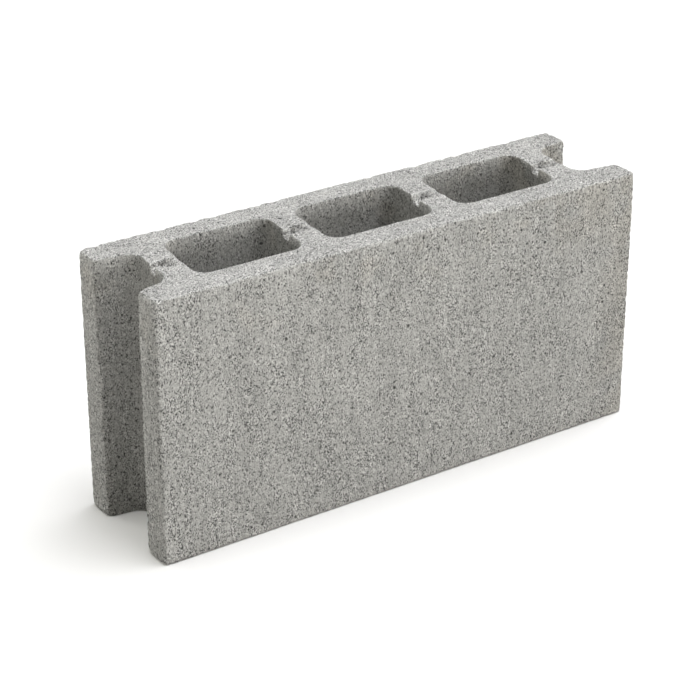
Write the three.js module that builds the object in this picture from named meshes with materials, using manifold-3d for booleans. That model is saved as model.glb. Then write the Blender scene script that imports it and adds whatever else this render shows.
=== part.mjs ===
// Hollow concrete masonry block, 390 x 190 x 100 mm, dry-cast as one piece.
//
// The block stands on its bed face as it does in a wall. X runs along it, Y through its
// thickness and Z up, in millimetres, with the origin at the centre of the bed face.
// Two face shells are joined by upright webs. Between the webs are open cores, and each
// end has an open recess, so that two blocks laid end to end close round a mortar pocket.
// The mould strips upwards: every core and recess narrows a little towards the bed, and the
// bar that carried the cores leaves a groove across the top of each web.

import * as THREE from 'three';
import { mergeVertices } from 'three/addons/utils/BufferGeometryUtils.js';
import Module from 'manifold-3d';

// The block
const blockLength = 390;
const blockThickness = 100;
const blockHeight = 190;
const cornerRadius = 2.4; // upright arrises at the four corners and the recess mouths
const arrisRadius = 1.6; // outer edges round the top and the bed
const rimRadius = 0.8; // edges of the cores and recesses at the top and the bed

// The walls, measured at the top, where they are thinnest
const faceShell = 20.5; // beside the cores
const earThickness = 21.5; // the end of a face shell, beside the mouth of a recess
const webThickness = 20;
const draftAngle = THREE.MathUtils.degToRad(0.45); // slope of every core and recess wall

// The cores
const coreCount = 3;
const coreCornerRadius = 11;

// The end recesses
const recessDepth = 29;
const recessCornerRadius = 12;
const recessFlare = THREE.MathUtils.degToRad(7); // how far each side wall opens outwards

// The groove that the core bar leaves in the webs
const grooveWidth = 10;
const grooveDepth = 4;
const grooveFillet = 3;
const grooveSlope = THREE.MathUtils.degToRad(18); // how far each side leans outwards

// Fineness of the round stretches
const cornerSteps = 6;
const arrisSteps = 4;

const cutMargin = 5; // how far a cutter runs past the faces that it opens
const leastRadius = 0.4; // what is left of a corner where an edge is rounded over it

const wasm = await Module();
wasm.setup();

// Turns corners, given counter-clockwise as { x, y, radius }, into an outline whose
// corners are tangent arcs. Every outline of as many corners has as many points.
function filletedOutline(corners) {
  const points = [];
  corners.forEach((corner, index) => {
    const here = new THREE.Vector2(corner.x, corner.y);
    const before = corners.at(index - 1);
    const after = corners[(index + 1) % corners.length];
    const back = new THREE.Vector2(before.x, before.y).sub(here).normalize();
    const ahead = new THREE.Vector2(after.x, after.y).sub(here).normalize();
    const halfAngle = Math.acos(THREE.MathUtils.clamp(back.dot(ahead), -1, 1)) / 2;
    const towardsCentre = back.clone().add(ahead).normalize();
    const centre = here.clone().addScaledVector(towardsCentre, corner.radius / Math.sin(halfAngle));
    const tangentLength = corner.radius / Math.tan(halfAngle);
    const start = here.clone().addScaledVector(back, tangentLength).sub(centre);
    const sweep = Math.sign(ahead.cross(back)) * (Math.PI - 2 * halfAngle);
    for (let step = 0; step <= cornerSteps; step += 1) {
      const turned = start.clone().rotateAround(new THREE.Vector2(), (sweep * step) / cornerSteps);
      points.push(turned.add(centre));
    }
  });
  return points;
}

// Joins outlines with equal numbers of points, one at each height, into a closed geometry.
function loft(sections) {
  const count = sections[0].outline.length;
  const positions = sections.flatMap(({ outline, z }) => outline.flatMap((point) => [point.x, point.y, z]));
  const triangles = [];
  for (let level = 0; level < sections.length - 1; level += 1) {
    for (let index = 0; index < count; index += 1) {
      const lower = level * count + index;
      const lowerNext = level * count + ((index + 1) % count);
      triangles.push(lower, lowerNext, lowerNext + count);
      triangles.push(lower, lowerNext + count, lower + count);
    }
  }
  const top = (sections.length - 1) * count;
  THREE.ShapeUtils.triangulateShape(sections[0].outline, []).forEach(([a, b, c]) => triangles.push(a, c, b));
  THREE.ShapeUtils.triangulateShape(sections.at(-1).outline, []).forEach(([a, b, c]) => {
    triangles.push(top + a, top + b, top + c);
  });
  const geometry = new THREE.BufferGeometry();
  geometry.setAttribute('position', new THREE.Float32BufferAttribute(positions, 3));
  geometry.setIndex(triangles);
  return geometry;
}

// How far a drafted wall stands back from its place at the top, at height z.
function draftAt(z) {
  return (z - blockHeight) * Math.tan(draftAngle);
}

// How far an edge rounded to this radius has cut into its face, at height z.
function roundingAt(z, radius) {
  const fromFace = Math.min(z, blockHeight - z);
  const short = THREE.MathUtils.clamp(radius - fromFace, 0, radius);
  return radius - Math.sqrt(radius ** 2 - short ** 2);
}

// The heights of the sections: close together where the edges are rounded.
function sectionHeights() {
  const deepest = Math.max(arrisRadius, rimRadius);
  const heights = [];
  for (let step = 0; step <= arrisSteps; step += 1) {
    heights.push(deepest * (1 - Math.cos((step / arrisSteps) * (Math.PI / 2))));
  }
  return [...heights, ...heights.map((z) => blockHeight - z).reverse()];
}

// The outer form: a plan outline with a recess in each end, carried from the bed to the top.
function bodyOutline(z) {
  const inset = roundingAt(z, arrisRadius);
  const rim = roundingAt(z, rimRadius);
  const growth = rim + draftAt(z);
  const outerRadius = Math.max(cornerRadius - inset, leastRadius);
  const mouthHalf = blockThickness / 2 - earThickness;
  const innerHalf = mouthHalf - recessDepth * Math.tan(recessFlare);
  const endX = blockLength / 2 - inset;
  const wallX = blockLength / 2 - recessDepth - growth;
  const sideY = blockThickness / 2 - inset;
  const half = [
    { x: endX, y: -sideY, radius: outerRadius },
    { x: endX, y: -mouthHalf - growth, radius: outerRadius },
    { x: wallX, y: -innerHalf - growth, radius: recessCornerRadius + rim },
    { x: wallX, y: innerHalf + growth, radius: recessCornerRadius + rim },
    { x: endX, y: mouthHalf + growth, radius: outerRadius },
    { x: endX, y: sideY, radius: outerRadius },
  ];
  const otherHalf = half.map(({ x, y, radius }) => ({ x: -x, y: -y, radius }));
  return filletedOutline([...half, ...otherHalf]);
}

function blockBody() {
  return loft(sectionHeights().map((z) => ({ outline: bodyOutline(z), z })));
}

// The spacing of the cores, from what the webs and the end recesses leave of the length.
const coreLength = (blockLength - 2 * recessDepth - (coreCount + 1) * webThickness) / coreCount;
const corePitch = coreLength + webThickness;

// One core: a rounded rectangle that tapers towards the bed and opens out at both rims.
function coreOutline(centreX, z) {
  const rim = roundingAt(z, rimRadius);
  const growth = rim + draftAt(z);
  const halfX = coreLength / 2 + growth;
  const halfY = blockThickness / 2 - faceShell + growth;
  const radius = coreCornerRadius + rim;
  return filletedOutline([
    { x: centreX + halfX, y: -halfY, radius },
    { x: centreX + halfX, y: halfY, radius },
    { x: centreX - halfX, y: halfY, radius },
    { x: centreX - halfX, y: -halfY, radius },
  ]);
}

function coreCutter(index) {
  const centreX = (index - (coreCount - 1) / 2) * corePitch;
  const sections = sectionHeights().map((z) => ({ outline: coreOutline(centreX, z), z }));
  sections.unshift({ ...sections[0], z: -cutMargin });
  sections.push({ ...sections.at(-1), z: blockHeight + cutMargin });
  return loft(sections);
}

// The core bar: one long trough along the middle of the block, which only the webs meet.
function grooveCutter() {
  const topWidth = grooveWidth + 2 * cutMargin * Math.tan(grooveSlope);
  const floorWidth = grooveWidth - 2 * grooveDepth * Math.tan(grooveSlope);
  const floorZ = blockHeight - grooveDepth;
  const topZ = blockHeight + cutMargin;
  const section = new THREE.Shape(
    filletedOutline([
      { x: -topWidth / 2, y: topZ, radius: leastRadius },
      { x: -floorWidth / 2, y: floorZ, radius: grooveFillet },
      { x: floorWidth / 2, y: floorZ, radius: grooveFillet },
      { x: topWidth / 2, y: topZ, radius: leastRadius },
    ]),
  );
  const length = blockLength + 2 * cutMargin;
  const trough = new THREE.ExtrudeGeometry(section, { depth: length, bevelEnabled: false });
  trough.translate(0, 0, -length / 2);
  trough.rotateX(Math.PI / 2);
  trough.rotateZ(Math.PI / 2);
  return trough;
}

// A closed geometry as a solid that can be joined and cut.
function toSolid(geometry) {
  const bare = geometry.clone();
  bare.deleteAttribute('normal');
  bare.deleteAttribute('uv');
  const merged = mergeVertices(bare);
  const vertProperties = new Float32Array(merged.attributes.position.array);
  const triVerts = new Uint32Array(merged.index.array);
  return new wasm.Manifold(new wasm.Mesh({ numProp: 3, vertProperties, triVerts }));
}

function toGeometry(solid) {
  const { vertProperties, triVerts } = solid.getMesh();
  const geometry = new THREE.BufferGeometry();
  geometry.setAttribute('position', new THREE.BufferAttribute(vertProperties, 3));
  geometry.setIndex(new THREE.BufferAttribute(triVerts, 1));
  geometry.computeVertexNormals();
  return geometry;
}

function buildBlock() {
  let block = toSolid(blockBody());
  for (let index = 0; index < coreCount; index += 1) {
    block = block.subtract(toSolid(coreCutter(index)));
  }
  return toGeometry(block.subtract(toSolid(grooveCutter())));
}

const concrete = new THREE.MeshStandardMaterial({
  name: 'concrete',
  color: new THREE.Color(0xa9a8a4),
  roughness: 0.95,
  metalness: 0,
});

const block = new THREE.Mesh(buildBlock(), concrete);
block.name = 'concrete_block';

const group = new THREE.Group();
group.add(block);

export default group;
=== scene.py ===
"""Looks of a hollow concrete masonry block.

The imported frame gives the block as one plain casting, standing on its bed face. This script makes
that casting again as one closed skin, fine enough to carry what a dry mix leaves behind: crumbled
arrises, a torn core-bar groove, an open top and the marks of the stripped mould. Sizes are in
millimetres inside the maker's classes and become metres when the mesh is written. X runs along
the block, Y through it and Z up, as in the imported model.
"""

import logging
import math
from dataclasses import dataclass, field
from enum import Enum
from itertools import product
from typing import Any, Callable

import bmesh
import bpy
import numpy as np
from mathutils import Matrix, Vector


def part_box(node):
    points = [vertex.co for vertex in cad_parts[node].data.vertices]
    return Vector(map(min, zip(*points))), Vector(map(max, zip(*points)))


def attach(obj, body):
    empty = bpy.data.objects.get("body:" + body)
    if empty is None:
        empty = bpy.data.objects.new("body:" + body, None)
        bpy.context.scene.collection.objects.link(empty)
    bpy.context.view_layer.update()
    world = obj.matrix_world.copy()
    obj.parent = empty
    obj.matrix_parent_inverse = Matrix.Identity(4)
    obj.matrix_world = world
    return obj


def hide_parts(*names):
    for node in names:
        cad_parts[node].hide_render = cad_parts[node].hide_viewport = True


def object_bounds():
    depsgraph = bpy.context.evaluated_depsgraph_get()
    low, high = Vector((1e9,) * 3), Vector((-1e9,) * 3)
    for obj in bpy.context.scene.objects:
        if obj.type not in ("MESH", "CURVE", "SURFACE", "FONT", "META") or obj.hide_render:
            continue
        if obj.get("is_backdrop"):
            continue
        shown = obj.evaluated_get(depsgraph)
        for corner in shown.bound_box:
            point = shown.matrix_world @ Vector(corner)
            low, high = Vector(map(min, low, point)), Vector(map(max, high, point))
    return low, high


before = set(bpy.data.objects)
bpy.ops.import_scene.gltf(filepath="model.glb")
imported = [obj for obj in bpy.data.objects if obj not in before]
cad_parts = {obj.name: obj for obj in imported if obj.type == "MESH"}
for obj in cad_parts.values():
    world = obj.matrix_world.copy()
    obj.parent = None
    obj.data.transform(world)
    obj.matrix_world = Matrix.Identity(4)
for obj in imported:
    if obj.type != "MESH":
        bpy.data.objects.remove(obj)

LOG = logging.getLogger("block")
NODE = "concrete_block"
SLOT = "concrete"
MM = 0.001  # metres in a millimetre

Array = np.ndarray
Colour = tuple[float, float, float]
Band = tuple[float, float]  # where a ramp is 0 and where it is 1


def stand(name: str, data: Any) -> bpy.types.Object:
    """Stands a new object in the scene.

    Args:
        name: what to call it.
        data: its mesh, lamp or camera.

    Returns:
        The object.
    """
    thing = bpy.data.objects.new(name, data)
    bpy.context.scene.collection.objects.link(thing)
    return thing


# --------------------------------------------------------------------------- materials


def operator(operation: str, turned: bool = False) -> Callable[["Wire", Any], "Wire"]:
    """Makes an operator that adds one Math node.

    Args:
        operation: Blender's name for it.
        turned: whether the other number comes first.

    Returns:
        The operator, for a Wire with another Wire or a number.
    """
    def reckon(self: "Wire", other: Any) -> "Wire":
        """Adds the node and leads both numbers to it."""
        inputs = dict(zip(("Value", "Value_001"), (other, self) if turned else (self, other)))
        return self.bench.node("Math", "Value", inputs, operation=operation)

    return reckon


class Wire:
    """What leaves one node of a material. Arithmetic on a number adds Math nodes."""

    def __init__(self, bench: "Bench", socket: bpy.types.NodeSocket) -> None:
        """Keeps the bench that it belongs to and the socket that it leaves."""
        self.bench, self.socket = bench, socket

    __add__ = __radd__ = operator("ADD")
    __sub__ = operator("SUBTRACT")
    __rsub__ = operator("SUBTRACT", turned=True)
    __mul__ = __rmul__ = operator("MULTIPLY")
    __truediv__ = operator("DIVIDE")
    __pow__ = operator("POWER")
    above = operator("GREATER_THAN")  # 1 where it is greater than the other, else 0
    most = operator("MAXIMUM")

    def ramp(self, low: float, high: float) -> "Wire":
        """Rises smoothly from 0 to 1, or falls where high is the smaller.

        Args:
            low: where the ramp is 0.
            high: where it is 1.

        Returns:
            The ramp's height at this number.
        """
        if low > high:
            return 1 - self.ramp(high, low)
        inputs = {"Value": self, "From Min": low, "From Max": high}
        return self.bench.node("MapRange", "Result", inputs, interpolation_type="SMOOTHSTEP")


class Bench:
    """The workbench on which the nodes of one material or world are laid out."""

    def __init__(self, owner: bpy.types.Material | bpy.types.World) -> None:
        """Clears the owner's nodes away.

        Args:
            owner: the material or world.
        """
        owner.use_nodes = True
        self.tree = owner.node_tree
        self.tree.nodes.clear()

    def node(self, kind: str, output: str, inputs: dict[str, Any] | None = None,
             **settings: Any) -> Wire:
        """Adds one node.

        Args:
            kind: Blender's name of its type, without ShaderNode.
            output: identifier of the output to go on with.
            inputs: numbers, vectors, colours or Wires, by socket identifier.
            settings: its properties.

        Returns:
            The output.
        """
        made = self.tree.nodes.new("ShaderNode" + kind)
        for name, value in settings.items():
            setattr(made, name, value)
        sockets = {socket.identifier: socket for socket in made.inputs}
        for name, value in (inputs or {}).items():
            if isinstance(value, Wire):
                self.tree.links.new(value.socket, sockets[name])
            else:
                sockets[name].default_value = value
        return self.output(made, output)

    def output(self, node: bpy.types.Node, name: str) -> Wire:
        """The node's output of this identifier."""
        return Wire(self, next(each for each in node.outputs if each.identifier == name))

    def scaled(self, vector: Wire, factor: Any) -> Wire:
        """A vector or colour times a number."""
        inputs = {"Vector": vector, "Scale": factor}
        return self.node("VectorMath", "Vector", inputs, operation="SCALE")

    def drawn_out(self, place: Wire, part: float) -> Wire:
        """A place brought down to this part of its height, to draw a pattern out upwards."""
        inputs = {"Vector": place, "Vector_001": (1, 1, part)}
        return self.node("VectorMath", "Vector", inputs, operation="MULTIPLY")

    def blended(self, factor: Wire, first: Colour, second: Colour) -> Wire:
        """A colour between two others."""
        inputs = {"Factor_Float": factor, "A_Color": (*first, 1), "B_Color": (*second, 1)}
        return self.node("Mix", "Result_Color", inputs, data_type="RGBA")

    def cells(self, place: Wire, grain: float) -> Wire:
        """Packed grains of one size, each of a random colour."""
        return self.node("TexVoronoi", "Color", {"Vector": place, "Scale": 1 / grain})

    def channel(self, colour: Wire, name: str) -> Wire:
        """One of a colour's Red, Green and Blue."""
        return self.node("SeparateColor", name, {"Color": colour})

    def finish(self, kind: str, shader: Wire) -> None:
        """Leads the last shader to the output of a Material or a World."""
        output = self.tree.nodes.new("ShaderNodeOutput" + kind)
        self.tree.links.new(shader.socket, output.inputs["Surface"])


@dataclass(frozen=True)
class Cloud:
    """Cloudy noise, by the size of its largest lumps in millimetres: across and upwards."""

    grain: float
    length: float
    detail: float = 1.0  # how many finer layers are added
    roughness: float = 0.5  # how strong each of them is

    def on(self, bench: Bench, place: Wire) -> Wire:
        """Lays out the noise.

        Args:
            bench: where the nodes go.
            place: the point, in millimetres.

        Returns:
            The noise, from -0.5 to 0.5.
        """
        inputs = {"Vector": bench.drawn_out(place, self.grain / self.length),
                  "Scale": 1 / self.grain, "Detail": self.detail, "Roughness": self.roughness}
        return bench.node("TexNoise", "Fac", inputs) - 0.5


class Trait(Enum):
    """What the block's vertices carry for its finish."""

    MOULDED = "moulded"  # 1 on walls that the mould dragged along, 0 on the top and the bed
    WORN = "worn"  # 1 on an arris, 0 away from it
    TORN_AND_SHADED = "torn"  # from 1 where the core bar tore the webs open, below 0 under spilled grains; its darkening is partly the torn open texture and partly painted shade in the groove and its hollows


@dataclass(frozen=True)
class ConcreteFinish:
    """Dry-cast concrete: grey cement paste round fine sand, with open pores, and some painted light
    and shade.

    Sizes, depths and places are in millimetres, and shares are parts of the plain colour's
    brightness. What has a band sets in between its two places, or values of a noise.
    """

    colour: Colour = (0.415, 0.412, 0.400)
    darkest: float = 0.08  # share that is always left
    warm: Colour = (0.424, 0.412, 0.387)
    warmth: Cloud = Cloud(24.0, 24.0)
    warm_band: Band = (0.02, 0.3)
    warm_lean: float = 0.22  # what the noise gains towards the right
    warm_right: Band = (40.0, 190.0)
    warm_height: Band = (125.0, 180.0)
    warm_end: Band = (150.0, 195.0)
    sand_grain: float = 0.5
    sand_length: float = 0.85
    sand_share: float = 1.2
    sand_rise: float = 0.8
    speck_part: float = 0.10  # part of the sand that is dark
    speck_band: Band = (0.14, 0.06)
    speck_share: float = 1.36
    speck_drop: float = 0.7
    fines: Cloud = Cloud(0.4, 0.4, 2.0, 0.6)
    fines_share: float = 0.55
    patch: Cloud = Cloud(6.5, 22.0)
    patch_band: Band = (-0.18, 0.18)
    patch_least: float = 0.72  # contrast of the grain where it is weakest
    patch_gain: float = 0.6  # what it gains where it is strongest
    struck_gain: float = 0.4  # and on the top and the bed
    coarse: Cloud = Cloud(3.0, 3.0)
    coarse_share: float = 0.05
    end_share: float = 0.9  # more of the same on the ends of the ears
    end_band: Band = (188.0, 194.0)
    mottle: Cloud = Cloud(24.0, 70.0, 3.0)
    mottle_share: float = 0.5
    drag: Cloud = Cloud(1.6, 30.0)
    drag_share: float = 0.42
    painted_light_height_share: float = 0.11  # painted light: from the foot of a wall to its top, darker below and lighter above
    painted_light_height_band: Band = (0.0, 190.0)
    wall_share: float = 0.064
    # painted shade: the walls darken towards the right end
    painted_shade_right_share: float = -0.05
    painted_shade_right_band: Band = (160.0, 195.0)
    spill: Cloud = Cloud(1.5, 12.0)
    spill_lean: float = 0.05
    spill_share: float = 0.7
    spill_band: Band = (166.0, 189.0)
    worn_share: float = 0.05
    # darker where the groove is torn: partly its open texture, partly painted shade
    torn_shade_share: float = -0.2
    pore_kinds: tuple[tuple[float, float], ...] = ((5.2, 1.1), (11.5, 1.5))  # spacing, radius
    pore_band: Band = (1.15, 0.75)  # in radii from its middle
    pore_least: float = 0.25  # radius of the smallest, as a part of the largest one's
    pore_free: float = 0.3  # part of the cells without one
    # painted shade: how much darker an open pore is coloured
    pore_shade_share: float = 0.72
    pore_depth: float = 0.6
    relief_depth: float = 0.10
    roughness: float = 0.93
    roughness_gain: float = 0.1
    specular: float = 0.2

    def pores(self, bench: Bench, place: Wire, spacing: float, radius: float) -> Wire:
        """Lays out open pores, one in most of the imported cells.

        A pore's radius grows from the smallest to the largest by the cube of its cell's chance,
        so that few of them are large.

        Args:
            bench: where the nodes go.
            place: the point, in millimetres.
            spacing: size of the cells that they lie in.
            radius: the largest pore's.

        Returns:
            1 in each pore and 0 between.
        """
        cells = bench.cells(place, spacing)
        chance = bench.channel(cells, "Red")
        reach = (chance**3 * (1 - self.pore_least) + self.pore_least) * (radius / spacing)
        inside = (bench.output(cells.socket.node, "Distance") / reach).ramp(*self.pore_band)
        return inside * chance.above(self.pore_free)

    def material(self) -> bpy.types.Material:
        """Lays out the nodes. Shares are added to a plain 1, which scales the paste's colour.

        Returns:
            The material.
        """
        material = bpy.data.materials.new(SLOT)
        bench = Bench(material)
        place = bench.scaled(bench.node("TexCoord", "Object"), 1 / MM)
        across, height = (bench.node("SeparateXYZ", axis, {"Vector": place}) for axis in "XZ")
        moulded, worn, torn = (bench.node("Attribute", "Fac", attribute_name=trait.value)
                               for trait in Trait)
        fines, patch, coarse, mottle, drag, spill, warmth = (
            cloud.on(bench, place) for cloud in
            (self.fines, self.patch, self.coarse, self.mottle, self.drag, self.spill, self.warmth))

        # the grain of the mix: sand, the dark specks in it and the fines between
        upright = bench.drawn_out(place, self.sand_grain / self.sand_length)
        grains = bench.cells(upright, self.sand_grain)
        sand = bench.channel(grains, "Red") - 0.5
        specks = bench.channel(grains, "Green").ramp(*self.speck_band)
        patch = patch.ramp(*self.patch_band) * self.patch_gain + self.patch_least
        struck = 1 + (1 - moulded) * self.struck_gain
        grain = sand * self.sand_share - specks * self.speck_share + fines * self.fines_share
        tone = 1 + self.speck_part * self.speck_share + grain * patch * struck

        # what differs over the block: coarser ends, mottle, the mould's marks, wear, pores with
        # painted shade in them, and painted light and shade on the walls, lighter up each wall and
        # darker by the right end
        end = (across * across).ramp(*(edge**2 for edge in self.end_band)) * moulded
        tone = tone + coarse * (end * self.end_share + self.coarse_share)
        tone = tone + mottle * self.mottle_share
        spill = (spill + self.spill_lean) * height.ramp(*self.spill_band) * self.spill_share
        walls_and_painted_light = (height.ramp(*self.painted_light_height_band) - 0.5) * self.painted_light_height_share + self.wall_share
        # painted shade towards the right end
        walls_and_painted_light = walls_and_painted_light + across.ramp(*self.painted_shade_right_band) * self.painted_shade_right_share
        tone = tone + (drag * self.drag_share + spill + walls_and_painted_light) * moulded
        # the torn groove is coloured darker, partly for its open texture and partly as painted
        # shade; spilled grains are paler
        tone = tone + worn * self.worn_share + torn * self.torn_shade_share
        small, large = (self.pores(bench, place, *kind) for kind in self.pore_kinds)
        pores = small.most(large)
        # open pores coloured darker: painted shade in the holes
        tone = tone * (1 - pores * self.pore_shade_share)

        # warmer places, by the top and the right end
        warmth = (warmth + across.ramp(*self.warm_right) * self.warm_lean).ramp(*self.warm_band)
        where = height.ramp(*self.warm_height).most(across.ramp(*self.warm_end)) * moulded
        tint = bench.blended(warmth * where, self.colour, self.warm)

        # relief
        rise = fines + sand * self.sand_rise - specks * self.speck_drop + drag * moulded
        rise = rise * self.relief_depth - pores * self.pore_depth
        relief = {"Height": rise, "Distance": MM, "Strength": 1.0}
        bench.finish("Material", bench.node("BsdfPrincipled", "BSDF", {
            "Base Color": bench.scaled(tint, tone.most(self.darkest)),
            "Roughness": self.roughness + fines * self.roughness_gain,
            "Normal": bench.node("Bump", "Normal", relief),
            "Specular IOR Level": self.specular,
        }))
        return material


# --------------------------------------------------------------------------- shaping


def unit(vectors: Array) -> Array:
    """Vectors of length 1 along these."""
    return vectors / np.linalg.norm(vectors, axis=-1, keepdims=True)


def ramp(values: Array, low: Any, high: Any) -> Array:
    """0 at low and before it, 1 at high and past it, and straight between."""
    return np.clip((values - low) / (high - low), 0, 1)


def softened(values: Array, kink: float) -> Array:
    """Values above 0, and 0 below, with a rounded kink: half of v + sqrt(v^2 + kink)."""
    return 0.5 * (values + np.sqrt(values**2 + kink))


def stacked(*axes: Any) -> Array:
    """Points with these places along each axis."""
    return np.stack(np.broadcast_arrays(*axes), axis=-1)


def folded(points: Array) -> tuple[Array, Array, Array]:
    """x, y and z of points with all four quarters of the block laid over one."""
    return np.abs(points[:, 0]), np.abs(points[:, 1]), points[:, 2]


def between(start: Array, end: Array, stations: Array) -> Array:
    """Straight stretches: the points at these parts of the way, for each height."""
    return start[:, None, :] + (end - start)[:, None, :] * stations[..., None]


def fillet(before: Array, corner: Array, after: Array, radius: Array, steps: int) -> Array:
    """The arc that rounds a corner and meets both its sides without a kink.

    Its centre lies on the corner's bisector, radius / sin(half angle) away, and it turns by
    what the half angle lacks of a right angle, twice.

    Args:
        before: (h, 2) points that the outline comes from, one for each height.
        corner: (h, 2) corners.
        after: (h, 2) points that the outline goes to.
        radius: (h,) radii.
        steps: stretches in the arc.

    Returns:
        (h, steps + 1, 2) points.
    """
    back, ahead = unit(before - corner), unit(after - corner)
    half = np.arccos(np.clip(np.sum(back * ahead, axis=-1), -1, 1)) / 2
    centre = corner + unit(back + ahead) * (radius / np.sin(half))[:, None]
    start = corner + back * (radius / np.tan(half))[:, None] - centre
    side = np.sign(ahead[:, 0] * back[:, 1] - ahead[:, 1] * back[:, 0])
    turn = (side * (np.pi - 2 * half))[:, None] * np.linspace(0, 1, steps + 1)
    x = start[:, :1] * np.cos(turn) - start[:, 1:] * np.sin(turn)
    y = start[:, :1] * np.sin(turn) + start[:, 1:] * np.cos(turn)
    return stacked(x, y) + centre[:, None, :]


def mirrored(quarter: Array) -> Array:
    """Closes a quarter outline over both axes.

    Args:
        quarter: (h, m, 2) points from the middle of the front to the middle of the right end.

    Returns:
        (h, 4 (m - 1), 2) points, counter-clockwise from the middle of the front.
    """
    back = quarter[:, -2::-1] * (1, -1)
    left = quarter[:, 1:] * (-1, -1)
    front = quarter[:, -2:0:-1] * (-1, 1)
    return np.concatenate([quarter, back, left, front], axis=1)


class SolidNoise:
    """Seeded gradient noise through space, the same on every run."""

    COUNT = 256  # points of the lattice before it repeats
    GAIN = 1.6  # brings the noise to about -1 to 1

    def __init__(self, seed: int) -> None:
        """Draws the order and the directions of the lattice's points.

        Args:
            seed: what to start the draw from.
        """
        draw = np.random.default_rng(seed)
        self.shuffle = draw.permutation(self.COUNT)
        self.directions = unit(draw.normal(size=(self.COUNT, 3)))

    def at(self, points: Array, grain: float) -> Array:
        """Noise at many points at once.

        Each corner of a lattice cell pulls along its own direction; the eight pulls are blended
        with the fade 6 t^5 - 15 t^4 + 10 t^3, which is flat at the corners.

        Args:
            points: (n, 3) places.
            grain: the lattice's spacing, in the points' unit.

        Returns:
            (n,) values, about -1 to 1.
        """
        scaled = points / grain
        cell = np.floor(scaled).astype(np.int64)
        part = scaled - cell
        fade = part**3 * (part * (part * 6 - 15) + 10)
        total = np.zeros(len(points))
        for corner in product((0, 1), repeat=3):
            offset = np.array(corner)
            index = 0
            for key in (cell + offset).T:
                index = self.shuffle[(index + key) % self.COUNT]
            pull = np.einsum("ij,ij->i", self.directions[index], part - offset)
            total += pull * np.prod(np.where(offset == 1, fade, 1 - fade), axis=1)
        return total * self.GAIN


class Skin:
    """A closed surface put together from grids of points that share their borders."""

    WELD = 0.01  # points nearer than this many millimetres are merged

    def __init__(self) -> None:
        """Starts with nothing."""
        self.points: list[Array] = []
        self.faces: list[Array] = []
        self.count = 0

    def place(self, points: Array) -> Array:
        """Adds points.

        Args:
            points: (..., 3) places.

        Returns:
            Their numbers, in the same layout.
        """
        flat = points.reshape(-1, 3)
        numbers = np.arange(self.count, self.count + len(flat)).reshape(points.shape[:-1])
        self.points.append(flat)
        self.count += len(flat)
        return numbers

    def grid(self, numbers: Array, closed: bool = False) -> None:
        """Covers a grid of points with quads.

        Args:
            numbers: the points' numbers, row by row.
            closed: whether each row runs right round.
        """
        ahead = np.roll(numbers, -1, axis=1) if closed else numbers[:, 1:]
        here = numbers if closed else numbers[:, :-1]
        quads = np.stack([here[:-1], here[1:], ahead[1:], ahead[:-1]], axis=-1)
        self.faces.append(quads.reshape(-1, 4))

    def join(self, full: Array, thinned: Array, kept: Array, closed: bool = False) -> None:
        """Joins a row of points to the next one, which has only some of its points.

        A triangle joins each stretch of the full row to the nearer point of the thinned row, and
        each stretch of the thinned row to the point halfway along it in the full row.

        Args:
            full: (n,) numbers of the full row.
            thinned: (m,) numbers of the thinned row.
            kept: (m,) which points of the full row the thinned row has.
            closed: whether both rows run right round.
        """
        if closed:
            start, around = kept[0], len(full)
            full = np.append(np.roll(full, -start), full[start])
            thinned = np.append(thinned, thinned[0])
            kept = np.append((kept - start) % around, around)
        halfway = (kept[:-1] + kept[1:]) // 2
        nearer = thinned[np.searchsorted(halfway, np.arange(len(full) - 1), side="right")]
        self.faces.append(np.stack([full[:-1], nearer, full[1:]], axis=-1))
        self.faces.append(np.stack([thinned[:-1], thinned[1:], full[halfway]], axis=-1))

    def mesh(self, name: str) -> bpy.types.Mesh:
        """Writes the mesh in metres, with shared borders merged and faces turned outwards.

        Args:
            name: what to call it.

        Returns:
            The mesh.
        """
        mesh = bpy.data.meshes.new(name)
        sizes = np.concatenate([np.full(len(faces), faces.shape[1]) for faces in self.faces])
        used, corners = np.unique(np.concatenate([faces.ravel() for faces in self.faces]),
                                  return_inverse=True)
        mesh.vertices.add(len(used))
        mesh.vertices.foreach_set("co", (np.concatenate(self.points)[used] * MM).ravel())
        mesh.loops.add(len(corners))
        mesh.loops.foreach_set("vertex_index", corners)
        mesh.polygons.add(len(sizes))
        mesh.polygons.foreach_set("loop_start", np.cumsum(sizes) - sizes)
        mesh.update(calc_edges=True)
        merged = bmesh.new()
        merged.from_mesh(mesh)
        bmesh.ops.remove_doubles(merged, verts=merged.verts, dist=self.WELD * MM)
        bmesh.ops.recalc_face_normals(merged, faces=merged.faces)
        merged.to_mesh(mesh)
        merged.free()
        return mesh


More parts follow.
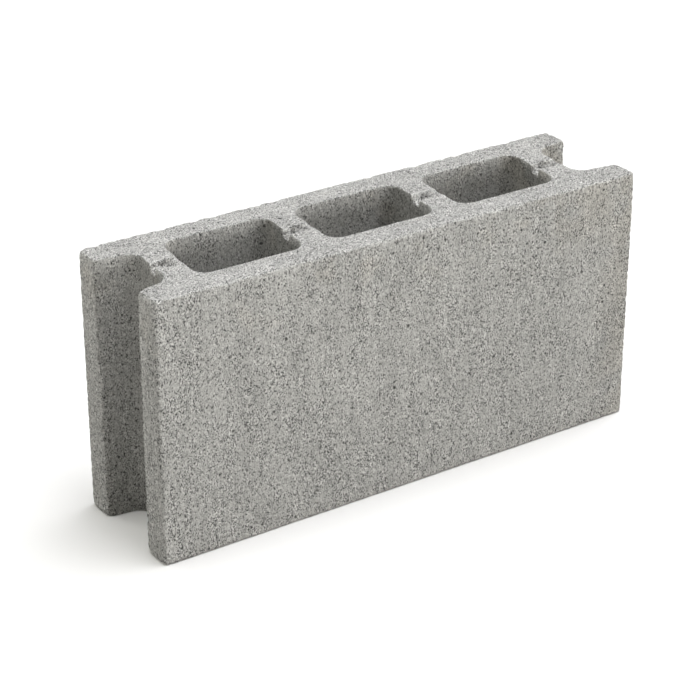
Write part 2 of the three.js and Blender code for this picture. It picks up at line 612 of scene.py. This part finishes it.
@dataclass
class BlockSizes:
    """The block's driving sizes, in millimetres. Walls are measured at the top."""

    length: float
    thickness: float
    height: float
    corner_radius: float = 2.4
    lip_radius: float = 1.2
    least_radius: float = 0.4  # what is left of either where an edge is rounded over it
    arris_radius: float = 1.6
    rim_radius: float = 0.8
    face_shell: float = 20.5
    ear_thickness: float = 21.5
    web: float = 20.0
    draft: float = math.tan(math.radians(0.45))
    core_count: int = 3
    core_radius: float = 11.0
    recess_depth: float = 29.0
    recess_radius: float = 12.0
    recess_flare: float = math.tan(math.radians(7))
    groove_half: float = 5.0
    groove_depth: float = 4.0
    groove_slope: float = math.tan(math.radians(18))
    web_shifts: tuple[float, ...] = (-1.8, -5.0, -2.8, -2.5)  # how far out of line each stands
    web_skew: float = 0.087  # and how much further for each millimetre through the block

    @classmethod
    def from_frame(cls) -> "BlockSizes":
        """Takes the length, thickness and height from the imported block."""
        low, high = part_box(NODE)
        return cls(*((high - low) / MM))

    @property
    def end(self) -> float:
        """From the middle of the block to either end."""
        return self.length / 2

    @property
    def side(self) -> float:
        """From the middle of the block to either outer face."""
        return self.thickness / 2

    @property
    def mouth(self) -> float:
        """Half the width of a recess at its mouth."""
        return self.side - self.ear_thickness

    @property
    def core_length(self) -> float:
        """What the webs and recesses leave for each core."""
        spare = self.length - 2 * self.recess_depth - (self.core_count + 1) * self.web
        return spare / self.core_count

    @property
    def core_pitch(self) -> float:
        """From the middle of one core to the next."""
        return self.core_length + self.web

    @property
    def core_centres(self) -> Array:
        """The middle of each core, along the block."""
        return (np.arange(self.core_count) - (self.core_count - 1) / 2) * self.core_pitch

    @property
    def web_centres(self) -> Array:
        """The middle of each web, along the block."""
        return (np.arange(self.core_count + 1) - self.core_count / 2) * self.core_pitch

    def rounding(self, z: Array, radius: float) -> Array:
        """How deep a quarter-round edge cuts in at height z: its radius less half its chord."""
        short = np.clip(radius - np.minimum(z, self.height - z), 0, radius)
        return radius - np.sqrt(radius**2 - short**2)

    def drafted(self, z: Array) -> Array:
        """How far a core or recess wall stands back at height z from its place at the top."""
        return (z - self.height) * self.draft


@dataclass
class Fineness:
    """How many stretches the skin has along each part of the block, and their lengths.

    Counts along an outline are even, since its plain stretches leave out every other point.
    """

    core_side: int = 48
    web_fan: int = 18
    shell_fan: int = 16
    wall_end: int = 30
    corner: int = 6
    ear: int = 12
    recess_side: int = 20
    recess_fillet: int = 26
    across: int = 14
    arris: int = 6
    rim: int = 4
    top_rows: int = 3
    top_row: float = 1.2
    outer_row: float = 1.45
    core_row: float = 3.2
    core_grading: float = 1.25
    web_outer: int = 6
    lip: int = 6
    lip_outside: float = 0.6
    lip_inside: float = 1.8
    trough: int = 4
    sink_reach: float = 4.0  # how far down the groove presses the rows, in its own depths


@dataclass
class Rows:
    """Heights of a wall's rows, from the top down."""

    top: Array  # full rows round the top edge
    low: Array  # those below them, down to the bed
    kept: Array  # which of the low rows the plain stretches of the wall have


NOISE = SolidNoise(11)
LAYER_SHIFT = 17.3  # keeps the lattices of layers of noise apart


@dataclass(frozen=True)
class Relief:
    """One kind of relief, by the grain size and the depth of its noise in millimetres."""

    grain: float
    depth: float
    start: float = 0.0  # how far into the noise it is read
    layers: int = 1
    band: Band = (0.0, 1.0)  # where in the noise a loss begins and where it is whole

    def noise(self, points: Array) -> Array:
        """Layers of noise, each half as coarse and half as strong as the one before."""
        return sum(NOISE.at(points + self.start + LAYER_SHIFT * layer, self.grain / 2**layer)
                   / 2**layer for layer in range(self.layers))

    def raised(self, points: Array) -> Array:
        """How far it stands up at these points."""
        return self.depth * self.noise(points)

    def lost(self, points: Array) -> Array:
        """How deep it is broken out at these points."""
        return self.depth * ramp(self.noise(points), *self.band)


@dataclass
class Weather:
    """How a dry mix sets and breaks. Reaches and bands are in millimetres, parts in half webs."""

    yielding: float = 0.12  # how softly what would stand proud of the mould is pressed back
    texture: Relief = Relief(3.4, 0.09, layers=2)
    swell: Relief = Relief(26.0, 0.12, 50.0)
    drag: Relief = Relief(3.2, 0.06)
    drag_length: float = 70.0
    top: Relief = Relief(3.0, 0.20, 90.0, 2)
    crumb: Relief = Relief(2.1, 1.38, 30.0, 2, (-0.08, 1.12))
    crumb_reach: float = 1.9
    crumb_rim: float = 0.5  # share of the crumbling at the rims of the cores
    crumb_top: float = 0.5  # what is added to it at the top's outer arris
    end_chip: Relief = Relief(4.2, 1.1, 150.0, 1, (0.0, 0.5))
    end_reach: float = 14.0
    chip: Relief = Relief(8.0, 0.8, 110.0, 1, (0.12, 0.52))
    chip_spread: float = 0.4  # power of the nearness, below 1 to carry a chip further
    knock: Relief = Relief(40.0, 0.25, 10.0)
    knock_depth: float = 0.5
    knock_reach: float = 3.5
    knock_lips: tuple[float, float] = (2.8, 1.4)  # weight of a recess's lip, at its foot and top
    outer_band: Band = (12.0, 4.0)  # distance from the outer faces
    high_band: Band = (40.0, 20.0)  # distance from the top
    groove_offset: float = -0.7
    groove_kinks: tuple[float, float] = (0.8, 0.5)  # roundness of its lips and its floor's corners
    groove_parts: tuple[float, ...] = (-1.0, -0.55, -0.25, 0.4, 0.8, 1.0)
    groove_depths: tuple[float, ...] = (1.5, 0.62, 1.1, 0.8, 0.35, 0.15)
    torn_parts: tuple[float, ...] = (-1.05, -0.6, -0.3, 0.4, 0.9)
    torn_shares: tuple[float, ...] = (0.5, 0.4, 1.0, 1.0, 0.1)
    torn_band: Band = (1.2, -0.4)  # distance past the groove's lip
    torn_low: Band = (5.0, 1.0)  # distance below its floor
    torn_past: float = 2.0  # how far it goes on beyond the wall of a recess
    spill_parts: Band = (-0.65, -0.35)  # loose grains lie left of these
    lump: Relief = Relief(3.2, 1.1, 70.0, 2)
    lump_sink: float = 0.11  # how far the lumps' middle lies below the skin
    hollow: Relief = Relief(5.5, 1.9, 906.0, 1, (-0.15, 0.85))
    hollow_shade: float = 1.4737  # painted shade: how much more torn, and so darker, a hollow is coloured for each millimetre of its depth
    stray_margin: float = 2.0  # of a shell: still by its outer face, shifted whole by a core


@dataclass
class HollowBlock:
    """The whole block, cast as one piece. Points are in millimetres throughout."""

    sizes: BlockSizes
    fineness: Fineness = field(default_factory=Fineness)
    weather: Weather = field(default_factory=Weather)
    finish: ConcreteFinish = field(default_factory=ConcreteFinish)
    skin: Skin = field(default_factory=Skin)

    # ----- sections

    def web_part(self, x: Array) -> Array:
        """Where x lies across the nearest web: -1 at its left side, 1 at its right."""
        webs = self.sizes.web_centres
        return (x - webs[np.abs(x[..., None] - webs).argmin(axis=-1)]) / (self.sizes.web / 2)

    def groove(self, x: Array, y: Array) -> Array:
        """Depth of the core-bar groove: leaning sides cut off by its floor, both softened.

        The depth is then scaled by the place across the web: it slopes down and out at the left
        side of each web and runs out towards the right one.

        Args:
            x: places along the block.
            y: places through it.

        Returns:
            The depth at each place.
        """
        s, w = self.sizes, self.weather
        side_kink, floor_kink = w.groove_kinks
        side = (s.groove_half - np.abs(y - w.groove_offset)) / s.groove_slope
        depth = s.groove_depth - softened(s.groove_depth - softened(side, side_kink), floor_kink)
        return depth * np.interp(self.web_part(x), w.groove_parts, w.groove_depths)

    def web_stations(self, half: Array) -> Array:
        """Places on a web from the end of its straight stretch to its middle, close at the lip.

        Args:
            half: (h,) half lengths of the straight stretch.

        Returns:
            (h, m) places through the block, from -half to 0.
        """
        s, f = self.sizes, self.fineness
        outside, inside = s.groove_half + f.lip_outside, s.groove_half - f.lip_inside
        far = np.linspace(-half, -outside, f.web_outer, endpoint=False, axis=-1)
        near = np.append(np.linspace(-outside, -inside, f.lip, endpoint=False),
                         np.linspace(-inside, 0, f.trough + 1))
        return np.append(far, np.tile(near, (len(half), 1)), axis=1)

    def core_quarter(self, z: Array) -> Array:
        """A quarter of a core's outline: half a long side, a fillet and half a web.

        Args:
            z: (h,) heights.

        Returns:
            (h, m, 2) points, round the core's own middle.
        """
        s, f = self.sizes, self.fineness
        rim = s.rounding(z, s.rim_radius)
        growth = rim + s.drafted(z)
        half_x = s.core_length / 2 + growth
        half_y = s.side - s.face_shell + growth
        middle, corner, end = stacked(0, -half_y), stacked(half_x, -half_y), stacked(half_x, 0)
        arc = fillet(middle, corner, end, s.core_radius + rim, f.web_fan + f.shell_fan)
        side = between(middle, arc[:, 0], np.linspace(0, 1, f.core_side // 2, endpoint=False))
        web = stacked(half_x[:, None], self.web_stations(-arc[:, -1, 1])[:, 1:])
        return np.concatenate([side, arc, web], axis=1)

    def cell_quarter(self) -> Array:
        """A quarter of the edge of a core's share of the top: the front arris, then mid-web.

        Returns:
            (m, 2) points, as many as the core has.
        """
        s, f = self.sizes, self.fineness
        straight_x = s.core_length / 2 - s.core_radius
        straight_y = s.side - s.face_shell - s.core_radius
        front, mid_web = s.arris_radius - s.side, s.core_pitch / 2
        x = np.append(np.linspace(0, straight_x, f.core_side // 2, endpoint=False),
                      np.linspace(straight_x, mid_web, f.web_fan + 1))
        y = np.append(np.linspace(front, -straight_y, f.shell_fan, endpoint=False)[1:],
                      self.web_stations(np.array([straight_y])))
        return np.append(stacked(x, front), stacked(mid_web, y), axis=0)

    def front_stations(self) -> Array:
        """Places along the front, from its middle to where its upright corner begins.

        Returns:
            (m,) places: those in line with the cores' shares of the top, then even ones.
        """
        s, f = self.sizes, self.fineness
        half_cell = self.cell_quarter()[: f.core_side // 2 + f.web_fan + 1, 0]
        whole = np.concatenate([-half_cell[:0:-1], half_cell])
        cells = [centre + whole for centre in s.core_centres]
        end = np.linspace(cells[-1][-1], s.end - s.corner_radius, f.wall_end + 1)
        x = np.concatenate([cell[:-1] for cell in cells] + [end])
        return x[x > -Skin.WELD]

    def landmarks(self) -> tuple[int, int]:
        """Which points of a quarter of the outer outline end the front and the ear."""
        corner = len(self.front_stations()) - 1
        return corner, corner + self.fineness.ear + 2 * self.fineness.corner

    def outer_quarter(self, z: Array) -> Array:
        """A quarter of the outer outline: front, ear, recess side and half the recess wall.

        Args:
            z: (h,) heights.

        Returns:
            (h, m, 2) points.
        """
        s, f = self.sizes, self.fineness
        inset = s.rounding(z, s.arris_radius)
        rim = s.rounding(z, s.rim_radius)
        growth = rim + s.drafted(z)
        inner = s.mouth - s.recess_depth * s.recess_flare
        end_x, side_y, wall_x = s.end - inset, s.side - inset, s.end - s.recess_depth - growth
        middle, outer = stacked(0, -side_y), stacked(end_x, -side_y)
        lip, nook = stacked(end_x, -s.mouth - growth), stacked(wall_x, -inner - growth)
        radii = np.maximum([[s.corner_radius], [s.lip_radius]] - inset, s.least_radius)
        outer_arc = fillet(middle, outer, lip, radii[0], f.corner)
        lip_arc = fillet(outer, lip, nook, radii[1], f.corner)
        nook_arc = fillet(lip, nook, stacked(wall_x, 0), s.recess_radius + rim, f.recess_fillet)
        front = stacked(self.front_stations()[:-1], -side_y[:, None])
        ear = between(outer_arc[:, -1], lip_arc[:, 0], np.linspace(0, 1, f.ear + 1)[1:-1])
        side = between(lip_arc[:, -1], nook_arc[:, 0], np.linspace(0, 1, f.recess_side + 1)[1:-1])
        web = stacked(wall_x[:, None], self.web_stations(-nook_arc[:, -1, 1])[:, 1:])
        return np.concatenate([front, outer_arc, ear, lip_arc, side, nook_arc, web], axis=1)

    # ----- skin

    def let_in(self, plan: Array, z: Any) -> Array:
        """Stands plan points at these heights, pressed down where the groove is let in.

        The share of the groove's depth is 1 at the top and falls evenly to 0 at its reach.

        Args:
            plan: (..., 2) places.
            z: their heights, or one for all of them.

        Returns:
            (..., 3) places.
        """
        s, (x, y) = self.sizes, np.moveaxis(plan, -1, 0)
        share = ramp(s.height - z, self.fineness.sink_reach * s.groove_depth, 0)
        return stacked(x, y, z - self.groove(x, y) * share)

    def rows(self, radius: float, steps: int, row: float, grading: float = 1.0) -> Rows:
        """Works out the heights of a wall's rows.

        Rows lie at even angles round both edges, a few of one height come below the top edge,
        and the others are spaced by a power of the way down to the foot.

        Args:
            radius: radius of its top and bottom edges.
            steps: stretches round each of these.
            row: mean height of a row between them.
            grading: above 1 where rows grow taller towards the bed.

        Returns:
            The rows. Plain stretches keep every other one, and all of those round the foot.
        """
        s, f = self.sizes, self.fineness
        edge = radius * (1 - np.cos(np.linspace(0, math.pi / 2, steps + 1)))
        top = np.concatenate([edge, radius + f.top_row * np.arange(1, f.top_rows + 1)])
        foot = s.height - edge[::-1]
        count = 2 * round((foot[0] - top[-1]) / row / 2) + 1
        way = np.linspace(0, 1, count + 1)[1:] ** grading
        low = np.concatenate([top[-1] + (foot[0] - top[-1]) * way, foot[1:]])
        kept = np.concatenate([np.arange(0, count, 2), np.arange(count, count + steps)])
        return Rows(s.height - top, s.height - low, kept)

    def ring(self, quarter: Callable[[Array], Array], offset: float,
             rows: Rows) -> tuple[Array, Array]:
        """Places the points of one closed wall and covers its full rows round the top.

        Args:
            quarter: gives a quarter of the outline at each height.
            offset: how far along the block it stands.
            rows: the heights of its rows.

        Returns:
            Numbers of the last full row and of the low rows.
        """
        top, low = (self.skin.place(self.let_in(mirrored(quarter(z)) + (offset, 0), z[:, None]))
                    for z in (rows.top, rows.low))
        self.skin.grid(top, closed=True)
        return top[-1], low

    def outer_wall(self, rows: Rows) -> None:
        """Builds the outer wall, finest at the four ears and half as fine between them.

        Args:
            rows: the heights of its rows.
        """
        last, low = self.ring(self.outer_quarter, 0.0, rows)
        around, half = len(last), len(last) // 2
        corner, lip = self.landmarks()
        starts = [corner, half - lip, half + corner, around - lip, around + corner]
        columns = []
        for start, following in zip(starts, starts[1:]):
            ear = np.arange(start, start + lip - corner + 1)
            plain = np.arange(ear[-1], following + 1, 2) % around
            self.skin.grid(low[:, ear])
            self.skin.grid(low[np.ix_(rows.kept, plain[1:-1])])
            for border, beside in ((plain[0], plain[1]), (plain[-1], plain[-2])):
                self.skin.join(low[:, border], low[rows.kept, beside], rows.kept)
            columns += [ear, plain[1:-1]]
        columns = np.concatenate(columns)
        self.skin.join(last, low[0, columns], columns, closed=True)

    def face(self, plan: Array, closed: bool, z: float) -> None:
        """Puts a grid of plan points on the top or the bed."""
        self.skin.grid(self.skin.place(self.let_in(plan, z)), closed)

    def end_plan(self, outline: Array, stride: int) -> Array:
        """Plan of half an end's share of the top or the bed.

        The edge along the recess and the one along the front and mid-web are joined by straight
        lines, which are then bent to follow the ear's end, less and less towards mid-web.

        Args:
            outline: a quarter of the outer outline at the face's height.
            stride: 1 for every point beside the recess, 2 for every other.

        Returns:
            (k, m, 2) points, rows from the recess to the front.
        """
        s, f = self.sizes, self.fineness
        corner, lip = self.landmarks()
        end_wall = outline[corner - f.wall_end : corner + 1]
        mid_web = self.cell_quarter()[f.core_side // 2 + f.web_fan :] + (s.core_centres[-1], 0)
        outside = np.concatenate([end_wall[::-1], mid_web[1:]])[::stride]
        recess = outline[lip:][::stride]
        ear = outline[corner : lip + 1][::-1]
        u = np.linspace(0, 1, len(recess))[None, :, None]
        v = np.linspace(0, 1, len(ear))[:, None, None]
        ruled = (1 - v) * recess + v * outside
        return ruled + (1 - u) * (ear[:, None] - ruled[:, :1])

    def bearing_face(self, z: float, stride: int, steps: int) -> None:
        """Covers the whole top or bed between the outer edge, the cores and the recesses.

        Round a core, straight lines run from its rim to the edge of its share.

        Args:
            z: the height of the face.
            stride: 1 for every point of its edges, 2 for every other.
            steps: stretches from a core's rim to the edge of its share.
        """
        height = np.array([z])
        rim = mirrored(self.core_quarter(height))[0, ::stride]
        cell = mirrored(self.cell_quarter()[None])[0, ::stride]
        way = np.linspace(0, 1, steps + 1)[:, None, None]
        for centre in self.sizes.core_centres:
            self.face(rim + (cell - rim) * way + (centre, 0), True, z)
        plan = self.end_plan(self.outer_quarter(height)[0], stride)
        for flip in product((1, -1), repeat=2):
            self.face(plan * flip, False, z)

    def cast(self) -> bpy.types.Mesh:
        """Builds the plain skin: outer wall, cores with half as many columns, top and bed.

        Returns:
            The mesh.
        """
        s, f = self.sizes, self.fineness
        self.outer_wall(self.rows(s.arris_radius, f.arris, f.outer_row))
        rows = self.rows(s.rim_radius, f.rim, f.core_row, f.core_grading)
        for centre in s.core_centres:
            last, low = self.ring(self.core_quarter, centre, rows)
            columns = np.arange(0, len(last), 2)
            self.skin.join(last, low[0, columns], columns, closed=True)
            self.skin.grid(low[np.ix_(rows.kept, columns)], closed=True)
        self.bearing_face(s.height, 1, f.across)
        self.bearing_face(0.0, 2, f.across // 2)
        return self.skin.mesh(NODE + "_skin")

    # ----- weathering

    def wall_distance(self, points: Array) -> Array:
        """How far points lie in plan from the nearest upright wall, inside the concrete.

        A core's wall is a box rounded by its radius: past a box smaller by that radius, the
        distances along and through the block are combined as the sides of a right triangle,
        and the radius is taken off. A recess ends at its wall and at its leaning sides.

        Args:
            points: (n, 3) places.

        Returns:
            (n,) distances.
        """
        s = self.sizes
        x, y, z = folded(points)
        growth, depth = s.drafted(z), s.end - x
        past_x = np.abs(x[:, None] - s.core_centres).min(axis=1) - s.core_length / 2 - growth
        past_y = y - s.side + s.face_shell - growth
        past = (np.maximum(edge + s.core_radius, 0) for edge in (past_x, past_y))
        core = np.hypot(*past) - s.core_radius
        flank = y - (s.mouth + growth - depth * s.recess_flare)
        recess = np.maximum(flank, depth - s.recess_depth - growth)
        return np.minimum.reduce([s.side - y, depth, core, recess])

    def worn(self, points: Array) -> Array:
        """Nearness to an arris, by the bell e^-(distance / reach)^2.

        Args:
            points: (n, 3) places.

        Returns:
            (n,) values, 1 on an arris and falling off to 0.
        """
        s = self.sizes
        x, y, z = folded(points)
        flat = np.maximum(self.wall_distance(points), np.minimum(z, s.height - z))
        upright, lip = (np.hypot(s.end - x, edge - y) for edge in (s.side, s.mouth))
        nearest = np.minimum.reduce([flat, upright, lip])
        return np.exp(-((nearest / self.weather.crumb_reach) ** 2))

    def knocked(self, points: Array) -> Array:
        """Nearness to a corner of an ear's top or foot, by the same bell.

        Args:
            points: (n, 3) places.

        Returns:
            (n,) values, 1 on an outer corner and more on a recess's lip.
        """
        s, w = self.sizes, self.weather
        x, y, z = folded(points)
        square = (s.end - x) ** 2 + np.minimum(z, s.height - z) ** 2
        outer, lip = (np.exp(-(square + (edge - y) ** 2) / w.knock_reach**2)
                      for edge in (s.side, s.mouth + s.drafted(z)))
        return outer + lip * np.interp(z, (0, s.height), w.knock_lips)

    def torn(self, points: Array) -> Array:
        """How far the core bar tore the web open: most inside the groove, 0 beyond its lips.

        It is the product of a ramp across the lips, one below the floor and a share that goes by
        the place across the web.

        Args:
            points: (n, 3) places.

        Returns:
            (n,) values from 0 to 1.
        """
        s, w = self.sizes, self.weather
        x, y, z = points.T
        beside = ramp(np.abs(y - w.groove_offset) - s.groove_half, *w.torn_band)
        high = ramp(s.height - s.groove_depth - z, *w.torn_low)
        in_web = np.abs(x) < s.end - s.recess_depth + w.torn_past
        return beside * in_web * high * np.interp(self.web_part(x), w.torn_parts, w.torn_shares)

    def roughen(self, points: Array, normals: Array, worn: Array, torn: Array) -> Array:
        """Works out where each vertex goes once the mix has set and been stripped.

        Every point moves along its normal: by open texture and swells, by drag marks on the walls
        and coarser lumps on the top, by crumbs and chips lost from the arrises and by what is
        knocked off the ears' corners. The mould presses back what would stand proud of it: a
        move m becomes -y log(1 + e^(-m / y)), y being the yielding. Lumps and hollows torn at
        the groove come last.

        Args:
            points: (n, 3) places.
            normals: (n, 3) outward directions.
            worn: (n,) nearness to an arris.
            torn: (n,) how far the web is torn open.

        Returns:
            (n, 3) new places.
        """
        s, w = self.sizes, self.weather
        x, y, z = folded(points)
        top = np.clip(normals[:, 2], 0, 1) ** 2
        near_end = ramp(s.end - x, w.end_reach, 0)
        outermost = ramp(np.minimum(s.end - x, s.side - y), *w.outer_band)
        exposed = outermost * ramp(s.height - z, *w.high_band)
        drawn_out = points * (1, 1, w.drag.grain / w.drag_length)
        crumbling = w.crumb_rim + (1 - w.crumb_rim) * outermost + w.crumb_top * exposed
        move = w.texture.raised(points) + w.swell.raised(points) + w.top.raised(points) * top
        move += w.drag.raised(drawn_out) * (1 - np.abs(normals[:, 2]))
        move -= worn * (w.crumb.lost(points) * crumbling + w.end_chip.lost(points) * near_end)
        move -= worn**w.chip_spread * w.chip.lost(points) * exposed
        move -= self.knocked(points) * (w.knock_depth + w.knock.raised(points))
        move = -w.yielding * np.logaddexp(0, -move / w.yielding)
        move += torn * (w.lump.raised(points) - w.lump_sink - w.hollow.lost(points) * top)
        placed = points + normals * move[:, None]
        return np.clip(placed, (-s.end, -s.side, 0), (s.end, s.side, s.height))

    def strayed(self, points: Array) -> Array:
        """Moves the webs as far off their places as the cores stood out of line in the mould.

        Each is shifted along the block by its own amount, and all lean the same way across it.
        The shift is whole between the shells and fades out by 3 f^2 - 2 f^3, f falling evenly
        to 0 towards the outer faces and the ends.

        Args:
            points: (n, 3) places.

        Returns:
            (n, 3) new places.
        """
        s, margin = self.sizes, self.weather.stray_margin
        x, y, _ = folded(points)
        across = ramp(s.side - y, margin, s.face_shell - margin)
        fade = across * ramp(s.end - x, margin, s.recess_depth - margin)
        shift = np.interp(points[:, 0], s.web_centres, s.web_shifts) + points[:, 1] * s.web_skew
        return points + stacked(shift * fade * fade * (3 - 2 * fade), 0, 0)

    def build(self) -> bpy.types.Object:
        """Casts, roughens and dresses the block.

        Returns:
            The finished object, riding on the frame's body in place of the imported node.
        """
        mesh = self.cast()
        count = len(mesh.vertices)
        points, normals = np.empty((2, count * 3))
        mesh.vertices.foreach_get("co", points)
        mesh.vertices.foreach_get("normal", normals)
        points, normals = points.reshape(-1, 3) / MM, normals.reshape(-1, 3)
        worn, torn = self.worn(points), self.torn(points)
        placed = self.strayed(self.roughen(points, normals, worn, torn))
        mesh.vertices.foreach_set("co", (placed * MM).ravel())
        w = self.weather
        # the groove's colour mask, darkened more in the hollows: painted shade
        torn *= (np.interp(self.web_part(points[:, 0]), w.spill_parts, (-1, 1))
                 + w.hollow_shade * w.hollow.lost(points))
        for trait, values in zip(Trait, (1 - np.abs(normals[:, 2]), worn, torn)):
            layer = mesh.attributes.new(trait.value, "FLOAT", "POINT")
            layer.data.foreach_set("value", values)
        mesh.polygons.foreach_set("use_smooth", np.ones(len(mesh.polygons), dtype=bool))
        mesh.update()
        mesh.materials.append(self.finish.material())
        block = stand("hollow_block", mesh)
        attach(block, "root")
        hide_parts(NODE)
        mesh.calc_loop_triangles()
        LOG.info("hollow_block: %d vertices, %d triangles", count, len(mesh.loop_triangles))
        return block


# --------------------------------------------------------------------------- studio


@dataclass(frozen=True)
class FloorFinish:
    """White studio paper. It shows white to the camera and sends back a little less light."""

    seen: Colour = (0.99, 0.987, 0.98)
    sent_back: Colour = (0.410, 0.40, 0.381)

    def material(self) -> bpy.types.Material:
        """Lays out the nodes: two flat whites, chosen by whether the camera looks.

        Returns:
            The material.
        """
        material = bpy.data.materials.new("studio_paper")
        bench = Bench(material)
        ray = bench.node("LightPath", "Is Camera Ray")
        colour = bench.blended(ray, self.sent_back, self.seen)
        bench.finish("Material", bench.node("BsdfDiffuse", "BSDF", {"Color": colour}))
        return material


@dataclass(frozen=True)
class Lamp:
    """One far-off lamp, wide enough for soft shadows."""

    name: str
    strength: float
    angle: float  # how wide it looks from the block, in degrees
    towards: tuple[float, float, float]  # from the block to the lamp
    colour: Colour

    def build(self) -> None:
        """Hangs the lamp."""
        data = bpy.data.lights.new(self.name, "SUN")
        data.energy = self.strength
        data.angle = math.radians(self.angle)
        data.color = self.colour
        lamp = stand(self.name, data)
        lamp.rotation_mode = "QUATERNION"
        lamp.rotation_quaternion = Vector(self.towards).to_track_quat("Z", "Y")


OVERHEAD = Lamp("overhead", 3.08, 52.0, (0.281, -0.081, 0.956), (0.977, 0.979, 1.0))
HIGH_LEFT = Lamp("high_left", 0.763, 54.0, (-0.487, 0.113, 0.866), (1.0, 0.994, 0.912))
LOW_BEHIND = Lamp("low_behind", 1.89, 16.0, (-0.437, 0.897, 0.070), (1.0, 0.997, 0.954))
IN_FRONT = Lamp("in_front", 1.20, 20.0, (0.139, -0.986, 0.087), (0.999, 1.0, 0.991))
WIDE_FRONT = Lamp("wide_front", 0.539, 60.0, (0.302, -0.930, 0.208), (1.0, 0.968, 0.823))


@dataclass(frozen=True)
class Studio:
    """The plain studio: paper floor, a wide lamp overhead and four weaker ones round it."""

    floor_half: float = 12.0
    floor: FloorFinish = FloorFinish()
    lamps: tuple[Lamp, ...] = (OVERHEAD, HIGH_LEFT, LOW_BEHIND, IN_FRONT, WIDE_FRONT)

    def build_floor(self) -> None:
        """Lays the paper under the block."""
        reach = self.floor_half
        corners = [(-reach, -reach, 0), (reach, -reach, 0), (reach, reach, 0), (-reach, reach, 0)]
        mesh = bpy.data.meshes.new("studio_floor")
        mesh.from_pydata(corners, [], [(0, 1, 2, 3)])
        mesh.materials.append(self.floor.material())
        stand("studio_floor", mesh)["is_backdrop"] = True

    def build_backdrop(self) -> None:
        """Surrounds everything with white that the camera sees and that gives no light."""
        world = bpy.data.worlds.new("studio_backdrop")
        bench = Bench(world)
        white = {"Color": (1, 1, 1, 1), "Strength": bench.node("LightPath", "Is Camera Ray")}
        bench.finish("World", bench.node("Background", "Background", white))
        bpy.context.scene.world = world

    def build(self) -> None:
        """Sets up floor, backdrop and lamps."""
        self.build_floor()
        self.build_backdrop()
        for lamp in self.lamps:
            lamp.build()


@dataclass(frozen=True)
class Viewpoint:
    """The camera: where it stands round the block and how it is aimed, angles in degrees."""

    azimuth: float = -34.348
    elevation: float = 25.893
    distance: float = 1516.7 * MM
    aim_right: float = -12.28 * MM
    aim_down: float = 9.87 * MM
    lens: float = 112.1
    film: float = 36.0
    nearest: float = 0.05
    furthest: float = 60.0

    def build(self, centre: Vector) -> None:
        """Stands the camera up.

        The direction back to it follows from its two angles, right lies level and square to
        that, and up is square to both.

        Args:
            centre: the middle of the block.
        """
        a, e = math.radians(self.azimuth), math.radians(self.elevation)
        back = Vector((math.sin(a) * math.cos(e), -math.cos(a) * math.cos(e), math.sin(e)))
        right = Vector((math.cos(a), math.sin(a), 0))
        up = back.cross(right)
        data = bpy.data.cameras.new("camera")
        data.lens = self.lens
        data.sensor_width = self.film
        data.clip_start, data.clip_end = self.nearest, self.furthest
        turn = Matrix((right, up, back)).transposed().to_4x4()
        place = centre + back * self.distance + right * self.aim_right - up * self.aim_down
        camera = stand("camera", data)
        camera.matrix_world = Matrix.Translation(place) @ turn
        bpy.context.scene.camera = camera


def main() -> None:
    """Builds the block, the studio and the camera."""
    logging.basicConfig(level=logging.INFO, format="%(name)s %(message)s")
    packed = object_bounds()
    bpy.context.scene.view_settings.view_transform = "Standard"
    low, high = packed
    Viewpoint().build((low + high) / 2)
    Studio().build()
    HollowBlock(BlockSizes.from_frame()).build()


if __name__ == "__main__":
    main()
